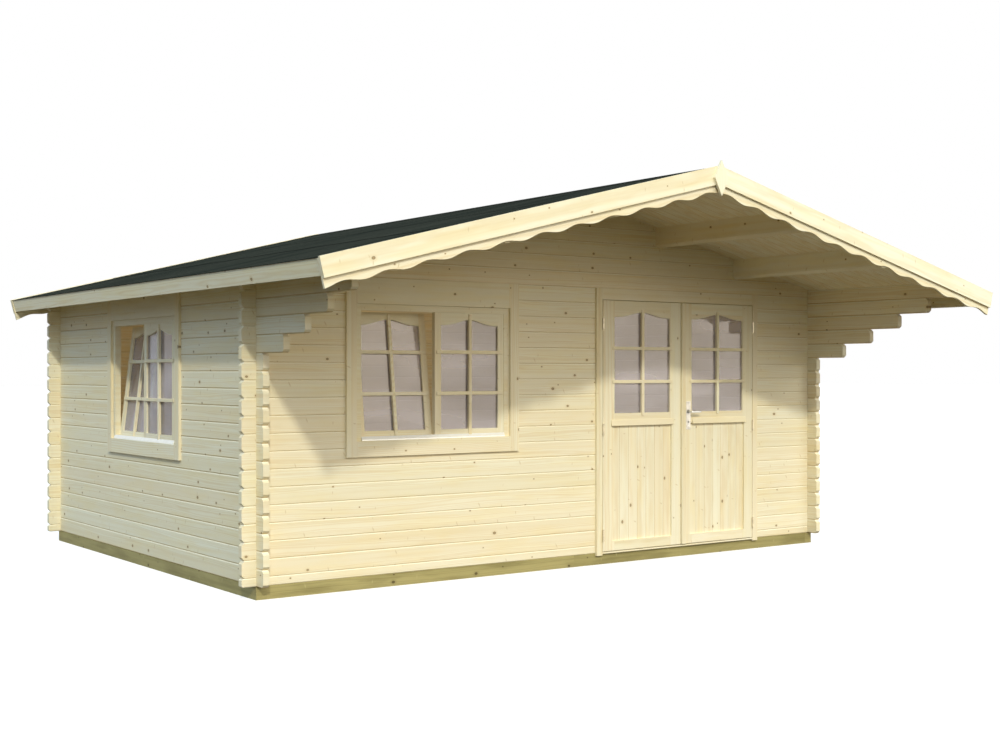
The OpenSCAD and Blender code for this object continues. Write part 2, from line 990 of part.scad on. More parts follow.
// Puts a sash, drawn from its lower corner, in the frame's right half, and one in its left that is tilted
// inwards with its foot resting on the frame's inner edge
module both_sashes() {
    foot_y = sash_y + sash_t + sash_back;
    foot_z = sash_z - (foot_y - log_t) * tan(sash_tilt);
    translate([fit / 2, sash_y, sash_z])
        children();
    translate([-fit / 2 - sash_w, foot_y, foot_z])
        rotate([-sash_tilt, 0, 0])
            translate([0, -sash_t, 0])
                children();
}

sash_glass_w = sash_w - 2 * sash_stile_w;
sash_shoulder = sash_h - sash_top_h - arch_rise;

module window_sashes() {
    color(spruce)
        both_sashes()
            difference() {
                cube([sash_w, sash_t, sash_h]);
                translate([sash_w / 2, -past, 0])
                    upright(sash_t)
                        polygon(arch_opening(sash_glass_w, sash_foot_h, sash_shoulder));
                translate([sash_w / 2, lip_t, 0])
                    upright(sash_t)
                        polygon(arch_opening(sash_glass_w + 2 * rebate,
                            sash_foot_h - rebate, sash_shoulder + rebate));
            }
}

module window_glass() {
    grow = rebate - fit;
    color(pane)
        both_sashes()
            translate([sash_w / 2, lip_t, 0])
                upright(glass_t)
                    polygon(arch_opening(sash_glass_w + 2 * grow, sash_foot_h - grow, sash_shoulder + grow));
}

// Sloping white strip on the board under the window, in front of the sashes' lower edges
module window_sill() {
    half = sash_open_w / 2 - fit;
    low = window_foot_h - window_foot_lap + fit;
    nose = sill_strip_h / 4;
    translate([-half, 0, 0])
        along_x(2 * half)
            polygon([[-sill_strip_d, low], [-fit, low],
                [-fit, low + sill_strip_h], [-sill_strip_d, low + nose]]);
}

module window_sills() {
    color(white_metal) {
        at_front_window()
            window_sill();
        at_left_window()
            window_sill();
    }
}

module front_window_frame() {
    at_front_window()
        window_frame();
}

module front_window_casing() {
    at_front_window()
        window_casing();
}

module front_window_sashes() {
    at_front_window()
        window_sashes();
}

module front_window_glass() {
    at_front_window()
        window_glass();
}

module left_window_frame() {
    at_left_window()
        window_frame();
}

module left_window_casing() {
    at_left_window()
        window_casing();
}

module left_window_sashes() {
    at_left_window()
        window_sashes();
}

module left_window_glass() {
    at_left_window()
        window_glass();
}

base_frame();
floor_joists();
floor_boards();
front_lower_logs();
front_corner_logs();
front_middle_logs();
front_right_logs();
front_upper_logs();
left_lower_logs();
left_front_logs();
left_rear_logs();
left_upper_logs();
right_wall_logs();
back_wall_logs();
back_gable_logs();
purlins();
roof_boards();
roof_felt();
eave_boards();
front_bargeboards();
front_wave_boards();
front_finial();
back_bargeboards();
back_wave_boards();
back_finial();
door_frame();
door_casing();
hinge_pins();
left_leaf();
left_leaf_panel();
left_leaf_glass();
left_leaf_hinges();
right_leaf();
right_leaf_panel();
right_leaf_glass();
right_leaf_hinges();
cover_strip();
lock_plates();
door_lever();
front_window_frame();
front_window_casing();
front_window_sashes();
front_window_glass();
left_window_frame();
left_window_casing();
left_window_sashes();
left_window_glass();
window_sills();
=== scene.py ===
"""Finishes for the log cabin: timber, felt, glass and metal, and the small pieces that dress its frame.

Everything is in metres, in the frame's own axes: +X to the right, the front gable towards -Y, +Z up.
"""

import json
import math

import bmesh
import bpy
from mathutils import Matrix, Vector


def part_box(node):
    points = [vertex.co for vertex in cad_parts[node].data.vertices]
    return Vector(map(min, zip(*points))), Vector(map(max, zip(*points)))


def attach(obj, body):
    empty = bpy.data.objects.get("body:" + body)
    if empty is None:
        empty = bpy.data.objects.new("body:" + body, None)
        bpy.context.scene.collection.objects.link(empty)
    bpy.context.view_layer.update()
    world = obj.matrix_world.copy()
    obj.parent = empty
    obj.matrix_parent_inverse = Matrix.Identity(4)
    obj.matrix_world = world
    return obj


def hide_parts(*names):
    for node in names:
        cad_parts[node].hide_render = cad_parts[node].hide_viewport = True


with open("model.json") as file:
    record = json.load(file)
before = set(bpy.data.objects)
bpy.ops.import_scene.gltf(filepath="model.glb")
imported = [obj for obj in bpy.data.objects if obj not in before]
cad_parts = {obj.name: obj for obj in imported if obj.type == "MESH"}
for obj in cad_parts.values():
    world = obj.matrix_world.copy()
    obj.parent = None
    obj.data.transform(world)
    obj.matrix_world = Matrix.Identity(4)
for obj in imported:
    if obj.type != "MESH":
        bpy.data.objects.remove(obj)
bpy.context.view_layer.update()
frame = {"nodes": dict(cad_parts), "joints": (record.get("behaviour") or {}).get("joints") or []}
nodes = frame["nodes"]

# Walls, floor and roof; a gap of FIT keeps pieces from touching
BASE_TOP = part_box("base_frame")[1].z
WALL_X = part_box("base_frame")[1].x
WALL_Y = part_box("base_frame")[1].y
BEARER_W = 0.075
JOIST_PITCH = 0.507
FLOOR_BOARD_W = 0.1174
FLOOR_BOARD_ROUND = 0.0025
LOG_H = 0.114
LOG_T = 0.044
PURLIN_PITCH = 0.845
RIDGE_PURLIN_Z = 2.45
ROOF_PITCH = math.radians(14)
ROOF_BOARD_W = 0.0973
ROOF_BOARD_T = 0.018
ROOF_BOARD_ROUND = 0.0014
RIDGE_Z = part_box("roof_boards")[1].z - ROOF_BOARD_T / math.cos(ROOF_PITCH)
GABLE_PEAK_Z = 2.77
EAVE_X = 2.9
EAVE_Z = 2.0
FINIAL_CUT = 0.034
FINIAL_ROUND = 0.0015
FIT = 0.0004

# Marks in timber: pitch of the year rings, length and width of the cells with one knot or scar each, and
# the heights of the painted shade along the lower edge and the painted highlight along the upper edge at a
# joint between logs or boards
RING_PITCH = 0.0052
KNOT_CELL = (0.33, 0.105)
SCAR_CELL = (0.17, 0.06)
SCAR_SHARE = 0.26
PLAIN_JOINT = (0.004, 0.009)
SIDE_JOINT = (0.0085, 0.0115)

# Felt on the roof, its strips and its ridge cap
FELT_T = 0.003
FELT_STRIP_W = 1.0
FELT_LAP = 0.08
FELT_EDGE_T = 0.0022
FELT_THIN_T = 0.0008
FELT_SEAM = 0.014
FELT_ROUND = 0.0003
RIDGE_CAP_W = 0.15
RIDGE_CAP_T = 0.0012
RIDGE_CAP_LAP = 0.03

# Door: half the width between the casing's uprights, the leaves with the lips that hold glass and panels,
# then bars, boards, drip rails and the bead
DOOR_HALF = 0.79
LEAF_T = 0.040
LIP_LAP = 0.0096
LIP_T = 0.014
GLASS_T = 0.004
BAR_W = 0.025
BAR_PROUD = 0.009
BAR_BACK = 0.004
BAR_STEP = 0.0006
BAR_ROUND = 0.003
DOOR_BAR_LAP = 0.022
DOOR_BARS = (0.31, 0.64)
PANEL_BOARDS = 7
PANEL_ROUND = 0.0013
DRIP_HALF = 0.317
DRIP_LOW = 1.041
DRIP_HIGH = 1.087
DRIP_PROUD = 0.011
DRIP_SLOPE = 0.006
DRIP_ROUND = 0.0025
DRIP_FROM_LOCK = 0.022
BEAD_W = 0.005
BEAD_T = 0.010
BEAD_BACK = 0.003
BEAD_END = 0.002
BEAD_ROUND = 0.001

# Lock: the keyhole's boss (drop below the lever's axis, radius, rise), its plug and its slot, which is
# dark as painted shade of the keyway (drops of both ends, half width, rise, rounding, material), the
# screws, and the collar's radii and heights
KEY_BOSS = (0.084, 0.0085, 0.004)
KEY_PLUG = (0.112, 0.086, 0.0055, 0.004, 0.0015, 0)
KEY_SLOT = (0.106, 0.080, 0.0009, 0.0046, 0.0003, 1)
SCREW_END = 0.012
SCREW_R = 0.0042
SCREW_RISE = 0.0012
DISC_TAPER = 0.82
COLLAR = ((0.0088, 0.0), (0.014, 0.0), (0.014, 0.003), (0.012, 0.005), (0.0088, 0.005))

# Windows: half the width between the casing's uprights, then the sashes as in the frame: size, members,
# place in the window, tilt of the open one, and bars
WINDOW_HALF = 0.62
SASH_W = 0.5864
SASH_H = 0.8612
SASH_T = 0.038
SASH_Y = 0.003
SASH_Z = 0.0594
SASH_STILE = 0.051
SASH_FOOT = 0.051
SASH_HEAD = 0.046
SASH_TILT = math.radians(7)
SASH_BACK = 0.032
SASH_BAR_LAP = 0.040
SASH_BARS = (0.3275, 0.7025)

# The photographer's place and lens
CAMERA_PLACE = (-6.4538, -9.9374, 1.4495)
CAMERA_YAW = math.radians(35.495)
CAMERA_PITCH = math.radians(-0.18)
CAMERA_LENS = 49.81
CAMERA_SHIFT = (0.00695, 0.00133)


class Signal:
    """A value inside a finish: arithmetic on it adds Math nodes."""

    def __init__(self, tree, socket):
        self.tree = tree
        self.socket = socket

    def math(self, operation, *values):
        return self.tree.node("ShaderNodeMath", {"operation": operation}, dict(enumerate(values)))

    def __add__(self, other):
        return self.math("ADD", self, other)

    def __radd__(self, other):
        return self.math("ADD", other, self)

    def __sub__(self, other):
        return self.math("SUBTRACT", self, other)

    def __rsub__(self, other):
        return self.math("SUBTRACT", other, self)

    def __mul__(self, other):
        return self.math("MULTIPLY", self, other)

    def __rmul__(self, other):
        return self.math("MULTIPLY", other, self)

    def __truediv__(self, other):
        return self.math("DIVIDE", self, other)

    def __pow__(self, other):
        return self.math("POWER", self, other)

    def __abs__(self):
        return self.math("ABSOLUTE", self)

    def floor(self):
        return self.math("FLOOR", self)

    def round(self):
        return self.math("ROUND", self)

    def sine(self):
        return self.math("SINE", self)

    def over(self, other):
        return self.math("GREATER_THAN", self, other)

    def under(self, other):
        return self.math("LESS_THAN", self, other)

    def output(self, name):
        return Signal(self.tree, self.socket.node.outputs[name])


class Finish:
    """The node tree of a material, or of the world."""

    def __init__(self, owner):
        owner.use_nodes = True
        self.owner = owner
        self.nodes = owner.node_tree.nodes
        self.links = owner.node_tree.links

    def node(self, kind, settings=None, inputs=None, output=0):
        made = self.nodes.new(kind)
        for name, value in (settings or {}).items():
            setattr(made, name, value)
        for name, value in (inputs or {}).items():
            self.feed(made.inputs[name], value)
        return Signal(self, made.outputs[output])

    def feed(self, socket, value):
        if isinstance(value, Signal):
            self.links.new(value.socket, socket)
        else:
            socket.default_value = value

    def shade(self, **inputs):
        """Feeds the Principled shader: base_color goes to its Base Color socket, and so on."""
        shader = self.nodes["Principled BSDF"]
        for name, value in inputs.items():
            self.feed(shader.inputs[name.replace("_", " ").title().replace("Ior", "IOR")], value)

    def vector(self, x, y, z):
        return self.node("ShaderNodeCombineXYZ", None, {0: x, 1: y, 2: z})

    def split(self, vector):
        first = self.node("ShaderNodeSeparateXYZ", None, {0: vector})
        return first, first.output("Y"), first.output("Z")

    def place(self):
        return self.node("ShaderNodeTexCoord", output="Object")

    def noise(self, vector, scale=1.0, detail=2.0):
        return self.node("ShaderNodeTexNoise", None, {"Vector": vector, "Scale": scale, "Detail": detail})

    def dice(self, vector):
        """Three random numbers that belong to a vector."""
        return self.split(self.node("ShaderNodeTexWhiteNoise", None, {"Vector": vector}, "Color"))

    def rise(self, value, low, high):
        """A smooth step from 0 at low to 1 at high."""
        return self.node("ShaderNodeMapRange", {"interpolation_type": "SMOOTHSTEP"},
                         {"Value": value, "From Min": low, "From Max": high})

    def mix(self, share, first, second, blend="MIX"):
        """Colours mixed by a share; a colour is three linear numbers or a signal."""
        first, second = (c if isinstance(c, Signal) else (*c, 1.0) for c in (first, second))
        return self.node("ShaderNodeMix", {"data_type": "RGBA", "blend_type": blend},
                         {0: share, 6: first, 7: second}, output=2)

    def bump(self, height, distance):
        return self.node("ShaderNodeBump", None, {"Height": height, "Distance": distance})


def new_finish(name):
    return Finish(bpy.data.materials.new(name))


# Where a piece of timber lies. Each function turns the place on the cabin into the distance along the
# grain, across it from the piece's middle, into it from its face, and a number for the single piece.

def logs_along_x(face_y):
    """Logs of the front and back walls, half a course lower than those of the sides."""
    def lay(x, y, z):
        row = ((z - BASE_TOP) / LOG_H + 0.5).floor()
        return x, z - BASE_TOP - row * LOG_H, y - face_y, row
    return lay


def logs_along_y(face_x):
    """Logs of the side walls."""
    def lay(x, y, z):
        row = ((z - BASE_TOP) / LOG_H).floor()
        return y, z - BASE_TOP - (row + 0.5) * LOG_H, x - face_x, row
    return lay


def beams_along_y(x, y, z):
    """Purlins: one under the ridge, the others down both slopes."""
    beam = (x / PURLIN_PITCH).round()
    middle_z = RIDGE_PURLIN_Z - abs(beam) * PURLIN_PITCH * math.tan(ROOF_PITCH)
    return y, z - middle_z, x - beam * PURLIN_PITCH, beam


def boards_along_y(x, y, z):
    """Eave boards, one at each side."""
    return y, z - EAVE_Z, abs(x) - EAVE_X, x.over(0)


def bearers(x, y, z):
    """The ring of bearers under the walls: those at the sides run along Y."""
    side = abs(x).over(WALL_X - BEARER_W)
    bearer = side * 5 + x.over(0) + y.over(0) * 2
    return x + (y - x) * side, z - BASE_TOP / 2, (abs(y) - WALL_Y) * 0.4, bearer


def joists_along_y(x, y, z):
    """Joists side by side under the floor."""
    joist = (x / JOIST_PITCH).round()
    return y, z - BASE_TOP / 2, x - joist * JOIST_PITCH, joist


def boards_up_slope(width, start):
    """Roof boards side by side along Y, from ridge to eaves."""
    def lay(x, y, z):
        board = ((y - start) / width).floor()
        return abs(x), y - start - (board + 0.5) * width, z * 0.1, board + x.over(0) * 90
    return lay


def boards_down_slope(x, y, z):
    """Bargeboards and wave boards, which follow the roof's slope."""
    drop = z - GABLE_PEAK_Z
    along = abs(x) * math.cos(ROOF_PITCH) - drop * math.sin(ROOF_PITCH)
    across = abs(x) * math.sin(ROOF_PITCH) + drop * math.cos(ROOF_PITCH)
    return along, across + 0.03, y * 0.2, x.over(0)


def boards_across(width, start):
    """Boards with level grain, side by side along Y."""
    def lay(x, y, z):
        board = ((y - start) / width).floor()
        return x, y - start - (board + 0.5) * width, z, board
    return lay


def upright_boards(width, start):
    """Boards with upright grain, side by side along X."""
    def lay(x, y, z):
        board = ((x - start) / width).floor()
        return z, x - start - (board + 0.5) * width, y, board
    return lay


def framed(centres, half, side="x"):
    """Upright members farther than half from the nearest centre line, level ones between them."""
    def lay(x, y, z):
        place = x if side == "x" else y
        depth = y if side == "x" else x
        away = abs(place - centres[0])
        for centre in centres[1:]:
            away = away.math("MINIMUM", away, abs(place - centre))
        upright = away.over(half)
        along = place + (z - place) * upright
        across = z + (place - z) * upright
        piece = (across * 2.1).floor() + upright * 40
        return along, across - 0.03, depth, piece
    return lay


SPRUCE = {
    "early": (0.955, 0.92, 0.755),
    "late": (0.82, 0.695, 0.455),
    "shade": (0.95, 0.92, 0.86),
    "patch": (1.0, 0.97, 0.87),
    "blush": (1.0, 0.955, 0.92),
    "halo": (0.76, 0.60, 0.345),
    "knot": (0.36, 0.245, 0.11),
    "rim": (0.20, 0.13, 0.058),
    "scar": (0.66, 0.52, 0.30),
    # painted shade along a lower edge
    "groove": (0.68, 0.57, 0.38),
    # painted highlight along an upper edge
    "crest": (0.98, 0.925, 0.75),
}
TREATED = {
    "early": (0.49, 0.43, 0.19),
    "late": (0.345, 0.295, 0.12),
    "shade": (0.82, 0.82, 0.78),
    "patch": (0.66, 0.655, 0.60),
    "blush": (0.96, 0.90, 0.88),
    "halo": (0.25, 0.205, 0.08),
    "knot": (0.10, 0.07, 0.025),
    "rim": (0.05, 0.038, 0.016),
    "scar": (0.56, 0.50, 0.25),
    # painted shade along a lower edge
    "groove": (0.7, 0.7, 0.6),
    # painted highlight along an upper edge
    "crest": (0.46, 0.415, 0.165),
}


def spots(finish, far, across, row, cell, share):
    """Marks scattered over the timber: the nearest one's distance along and across the grain, whether it
    is there, and its size."""
    cell_l, cell_w = cell
    cells = finish.node("ShaderNodeTexVoronoi", {"voronoi_dimensions": "2D"},
                        {"Vector": finish.vector(far / cell_l, across / cell_w + row, 0.0),
                         "Scale": 1.0, "Randomness": 0.9}, "Position")
    cell_x, cell_y, _ = finish.split(cells)
    chance, size, _ = finish.split(cells.output("Color"))
    return far - cell_x * cell_l, across + (row - cell_y) * cell_w, chance.under(share), size


def timber(name, lay, seed, tones=SPRUCE, width=None, knots=0.34, joint=PLAIN_JOINT):
    """Planed softwood: year rings, knots that the grain runs round, and a tone of its own for each piece.

    A width is given for pieces side by side. Each then gets painted shade along its lower edge and a
    painted highlight along its upper one, as high as the joint says.
    """
    finish = new_finish(name)
    x, y, z = finish.split(finish.place())
    along, across, depth, piece = lay(x, y, z)
    tone, shift, pith = finish.dice(finish.vector(piece, seed, 0.0))
    far = along + shift * 37.0
    row = piece * 7.0 + seed * 3.0

    # Knots, and fainter scars that stand across the grain
    off_l, off_w, here, size = spots(finish, far, across, row, KNOT_CELL, knots)
    away = ((off_l * 0.72) ** 2 + off_w ** 2) ** 0.5
    radius = 0.003 + size * size * 0.005
    core = here * (1 - finish.rise(away, radius * 0.7, radius))
    rim = here * (1 - finish.rise(abs(away - radius), radius * 0.12, radius * 0.38))
    halo = here * (1 - finish.rise(away, radius, radius * 3.4))
    scar_l, scar_w, scarred, scar_size = spots(finish, far, across, row + 0.37, SCAR_CELL, SCAR_SHARE)
    scar_away = (((scar_l + scar_w * (scar_size - 0.5)) * 1.3) ** 2 + (scar_w * 0.4) ** 2) ** 0.5
    scar = scarred * (1 - finish.rise(scar_away, 0.0, 0.004 + scar_size * 0.006))

    # Year rings round a pith behind the face, drifting along the trunk and parted by the knots
    drift = finish.noise(finish.vector(far * 0.55, row, 0.5), 1.0, 1.0) - 0.5
    waver = finish.noise(finish.vector(far * 2.4, across * 14.0, row)) - 0.5
    level = across - off_w * halo * 0.75 + (pith - 0.5) * 0.06 + drift * 0.11
    inward = abs(depth) + 0.018 + shift * 0.05
    trunk = (level ** 2 + inward ** 2) ** 0.5 + waver * 0.007
    rings = ((trunk * (2 * math.pi / RING_PITCH)).sine() * 0.5 + 0.5) ** 2
    streak = finish.noise(finish.vector(far * 0.7, across * 34.0, row), 1.0, 3.0)
    patch = finish.noise(finish.vector(far * 2.3, across * 15.0, row + 5.5), 1.0, 4.0)
    fibre = finish.noise(finish.vector(far * 9.0, across * 900.0, depth * 900.0), 1.0, 1.0)

    colour = finish.mix(rings * 0.42 + fibre * 0.10, tones["early"], tones["late"])
    colour = finish.mix(finish.rise(streak, 0.42, 0.70) * 0.85, colour, tones["shade"], "MULTIPLY")
    colour = finish.mix(finish.rise(patch, 0.42, 0.68) * 0.8, colour, tones["patch"], "MULTIPLY")
    colour = finish.mix(tone * 0.8, colour, tones["shade"], "MULTIPLY")
    colour = finish.mix(pith * 0.8, colour, tones["blush"], "MULTIPLY")
    colour = finish.mix(scar * 0.7, colour, tones["scar"])
    colour = finish.mix(halo * 0.45, colour, tones["halo"])
    colour = finish.mix(core * 0.85, colour, tones["knot"])
    colour = finish.mix(rim * 0.75, colour, tones["rim"])
    if width:
        # Painted shade along each piece's lower edge and a painted highlight along its upper edge, where a
        # chamfer would be shaded or would catch the sun
        dark, pale = (width / 2 - edge for edge in joint)
        crest = finish.rise(across, pale, pale + 0.0025)
        colour = finish.mix(crest * 0.8, colour, tones["crest"])
        foot = finish.rise(across * -1, dark, dark + 0.003)
        colour = finish.mix(foot * 0.8, colour, tones["groove"], "MULTIPLY")

    height = rings * 0.25 + fibre * 0.35 - core * 0.6
    finish.shade(base_color=colour, roughness=0.58 + rings * 0.08 + core * 0.1,
                 specular_ior_level=0.28, normal=finish.bump(height, 0.0004))
    return finish.owner


def mineral_felt():
    """Roofing felt: dark grit, weathered in soft bands, with a dark line below each strip and the ridge
    cap, partly bitumen and partly painted shade under the lip.
    """
    finish = new_finish("mineral_felt")
    place = finish.place()
    x, y, _ = finish.split(place)
    grit = finish.noise(place, 620.0)
    patch = finish.noise(finish.vector(abs(x) * 0.5 + y * 1.1, y * 5.5 - abs(x) * 0.8, 0.0), 1.0, 3.0)
    strip = (abs(x) / FELT_STRIP_W).floor()
    tone, _, _ = finish.dice(finish.vector(strip, x.over(0), 3.0))
    top = ROOF_BOARD_T + FIT + FELT_T
    slope = (abs(x) - top * math.sin(ROOF_PITCH)) / math.cos(ROOF_PITCH)
    strips = (slope_length(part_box("roof_felt")[1].x, top) - slope) / (FELT_STRIP_W - FELT_LAP)
    # Dark line just below each strip and below the ridge cap: partly bitumen, partly painted shade under
    # the lip
    bitumen_and_lip_shade = finish.rise(strips - strips.floor(), 1.0 - FELT_SEAM / FELT_STRIP_W, 1.0)
    bitumen_and_lip_shade = bitumen_and_lip_shade + slope.over(RIDGE_CAP_W) * slope.under(RIDGE_CAP_W + FELT_SEAM)
    colour = finish.mix(finish.rise(grit, 0.36, 0.70), (0.0225, 0.0245, 0.0195), (0.057, 0.060, 0.049))
    colour = finish.mix(finish.rise(patch, 0.40, 0.62) * 0.9, colour, (0.58, 0.64, 0.66), "MULTIPLY")
    colour = finish.mix(tone * 0.5, colour, (0.82, 0.84, 0.84), "MULTIPLY")
    colour = finish.mix(bitumen_and_lip_shade * 0.75, colour, (0.006, 0.0065, 0.006))
    finish.shade(base_color=colour, roughness=0.84 + grit * 0.12, specular_ior_level=0.0,
                 normal=finish.bump(grit, 0.0016))
    return finish.owner


def window_glass():
    """Panes that mirror a pale sky and let the room show through a little; their mottled grey-mauve film
    is a painted reflection.
    """
    finish = new_finish("window_glass")
    flat = finish.node("ShaderNodeMapping", None, {"Vector": finish.place(), "Scale": (1.2, 1.2, 4.6)})
    reflection_mottle = finish.noise(flat)
    # A half-opaque grey-mauve film, mottled, is a painted reflection of a pale sky besides the real mirror
    colour = finish.mix(finish.rise(reflection_mottle, 0.36, 0.66), (0.26, 0.255, 0.32), (0.52, 0.505, 0.62))
    finish.shade(base_color=colour, roughness=0.03, specular_ior_level=0.5, ior=2.15, alpha=0.45,
                 specular_tint=(0.99, 0.97, 1.0, 1.0))
    return finish.owner


def satin_metal(name, colour, rough, metal=1.0, wear=0.82):
    """Brushed or painted metal with a slight haze of handling."""
    finish = new_finish(name)
    place = finish.place()
    fine = finish.node("ShaderNodeMapping", None, {"Vector": place, "Scale": (900.0, 900.0, 40.0)})
    brushed = finish.noise(fine)
    haze = finish.noise(place, 35.0)
    dull = tuple(wear * c for c in colour)
    finish.shade(base_color=finish.mix(finish.rise(haze, 0.35, 0.75), colour, dull), metallic=metal,
                 roughness=rough + haze * 0.12 + brushed * 0.08, normal=finish.bump(brushed, 0.00006))
    return finish.owner


def dress(name, material):
    """Gives a frame node its finish."""
    mesh = nodes[name].data
    mesh.materials.clear()
    mesh.materials.append(material)


def new_piece(name, bm, materials, body, replaced=None):
    """Makes a finished mesh a piece that rides on a body."""
    mesh = bpy.data.meshes.new(name)
    bm.to_mesh(mesh)
    bm.free()
    for material in materials:
        mesh.materials.append(material)
    piece = bpy.data.objects.new(name, mesh)
    bpy.context.scene.collection.objects.link(piece)
    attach(piece, body)
    if replaced:
        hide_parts(replaced)


def add_block(bm, low, high, round_by, place=Matrix.Identity(4), material=0, segments=2):
    """A block between two corners, with its edges rounded, put in place by a matrix."""
    low, high = Vector(low), Vector(high)
    shape = Matrix.Translation((low + high) / 2) @ Matrix.Diagonal((*(high - low), 1.0))
    made = bmesh.ops.create_cube(bm, size=1.0, matrix=shape)
    edges = list({e for v in made["verts"] for e in v.link_edges})
    before = set(bm.faces) - {f for v in made["verts"] for f in v.link_faces}
    bmesh.ops.bevel(bm, geom=edges, offset=round_by, segments=segments, profile=0.5,
                    affect="EDGES", material=-1)
    faces = [f for f in bm.faces if f not in before]
    for face in faces:
        face.material_index = material
    verts = list({v for f in faces for v in f.verts})
    bmesh.ops.transform(bm, matrix=place, verts=verts)
    return verts


def add_bars(bm, place, half_w, low, crown, shares, lap, thick):
    """A grille of one upright and two level bars on the outside of a pane, and its twin inside.

    It is drawn with x from the pane's middle, y inwards from the outside face and z from the lower edge
    of the piece that holds the pane.
    """
    levels = [low + (crown - low) * s for s in shares]
    half = BAR_W / 2
    for front, back, grow in ((-BAR_PROUD, -FIT, lap), (0.0, LIP_T - FIT, 0.0),
                              (LIP_T + GLASS_T + FIT, thick - BAR_BACK, 0.0)):
        add_block(bm, (-half, front, low - grow), (half, back, crown + grow - FIT), BAR_ROUND, place, 0)
        for z in levels:
            add_block(bm, (-half_w - grow, front + BAR_STEP, z - half), (half_w + grow, back, z + half),
                      BAR_ROUND, place, 1)


def door_bars(leaf, body, materials):
    """Bars of a leaf's pane."""
    low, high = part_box(f"{leaf}_glass")
    middle = (low.x + high.x) / 2
    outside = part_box(leaf)[0]
    bm = bmesh.new()
    add_bars(bm, Matrix.Translation((middle, outside.y, 0.0)), (high.x - low.x) / 2 - LIP_LAP,
             low.z + LIP_LAP, high.z - LIP_LAP, DOOR_BARS, DOOR_BAR_LAP, LEAF_T)
    new_piece(f"{body}_bars", bm, materials, body)


def window_bars(window, side, materials):
    """Bars of both sashes; the left sash, seen from outside, stands back and leans inwards."""
    low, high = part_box(f"{window}_frame")
    middle = (low + high) / 2
    if side == "x":
        origin = Matrix.Translation((middle.x, low.y, low.z - FIT))
    else:
        quarter = Matrix.Rotation(-math.pi / 2, 4, "Z")
        origin = Matrix.Translation((low.x, middle.y, low.z - FIT)) @ quarter
    fixed = Matrix.Translation((FIT / 2 + SASH_W / 2, SASH_Y, SASH_Z))
    foot_y = SASH_Y + SASH_T + SASH_BACK
    foot_z = SASH_Z - (foot_y - LOG_T) * math.tan(SASH_TILT)
    lean = (Matrix.Translation((-FIT / 2 - SASH_W / 2, foot_y, foot_z))
            @ Matrix.Rotation(-SASH_TILT, 4, "X") @ Matrix.Translation((0.0, -SASH_T, 0.0)))
    bm = bmesh.new()
    for sash in (fixed, lean):
        add_bars(bm, origin @ sash, SASH_W / 2 - SASH_STILE, SASH_FOOT, SASH_H - SASH_HEAD,
                 SASH_BARS, SASH_BAR_LAP, SASH_T)
    new_piece(f"{window}_bars", bm, materials, "cabin")


def board_panel(leaf, body, seed):
    """Upright matchboards in the lower half of a leaf."""
    low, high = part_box(f"{leaf}_panel")
    width = (high.x - low.x) / PANEL_BOARDS
    bm = bmesh.new()
    for i in range(PANEL_BOARDS):
        add_block(bm, (low.x + i * width, low.y, low.z), (low.x + (i + 1) * width - FIT, high.y, high.z),
                  PANEL_ROUND, segments=1)
    wood = timber(f"{body}_boards_spruce", upright_boards(width, low.x), seed, width=width, knots=0.4)
    new_piece(f"{body}_boards", bm, (wood,), body, f"{leaf}_panel")


def drip_rail(left, right, face_y, body, wood):
    """Weather strip under the glass of a leaf, sloped on top."""
    bm = bmesh.new()
    back = face_y - FIT
    verts = add_block(bm, (left, face_y - DRIP_PROUD, DRIP_LOW), (right, back, DRIP_HIGH), DRIP_ROUND)
    for vert in verts:
        if vert.co.z > (DRIP_LOW + DRIP_HIGH) / 2 and vert.co.y < back - DRIP_SLOPE:
            vert.co.y += DRIP_SLOPE
    new_piece(f"{body}_drip_rail", bm, (wood,), body)


def meeting_bead(low, high, body, wood):
    """Bead on a leaf's meeting edge that closes most of the gap between the leaves."""
    bm = bmesh.new()
    front = low.y + BEAD_BACK
    add_block(bm, (high.x, front, low.z + BEAD_END),
              (high.x + BEAD_W, front + BEAD_T, high.z - BEAD_END), BEAD_ROUND)
    new_piece("meeting_bead", bm, (wood,), body)


def slope_place(side):
    """Puts on the roof what is drawn along the slope (x), along the ridge (y) and square to it (z)."""
    ridge = Matrix.Translation((0.0, 0.0, RIDGE_Z))
    lie = ridge @ Matrix.Rotation(ROOF_PITCH, 4, "Y")
    return lie if side > 0 else Matrix.Scale(-1.0, 4, (1.0, 0.0, 0.0)) @ lie


def slope_length(reach, top):
    """How far down the slope something ends whose upper edge, top above the slope, is at x = reach."""
    return (reach - top * math.sin(ROOF_PITCH)) / math.cos(ROOF_PITCH)


def cut_plumb(verts, before):
    """Cuts the ridge end of a piece on the slope upright, so that it meets its twin."""
    for vert in verts:
        if vert.co.x < before:
            vert.co.x -= vert.co.z * math.tan(ROOF_PITCH)


def roof_boards():
    """Matched boards from ridge to eaves, with grooves, and painted shade and highlight along the edges,
    that show from the porch.
    """
    low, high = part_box("roof_boards")
    count = round((high.y - low.y) / ROOF_BOARD_W)
    width = (high.y - low.y) / count
    length = slope_length(high.x, ROOF_BOARD_T)
    bm = bmesh.new()
    for side in (1, -1):
        for i in range(count):
            y = low.y + i * width
            verts = add_block(bm, (FIT, y, 0.0), (length, y + width - FIT, ROOF_BOARD_T),
                              ROOF_BOARD_ROUND, segments=1)
            cut_plumb(verts, length / 2)
            bmesh.ops.transform(bm, matrix=slope_place(side), verts=verts)
    bmesh.ops.recalc_face_normals(bm, faces=bm.faces)
    wood = timber("roof_board_spruce", boards_up_slope(width, low.y), 31, width=width, knots=0.2)
    new_piece("roof_boarding", bm, (wood,), "cabin", "roof_boards")


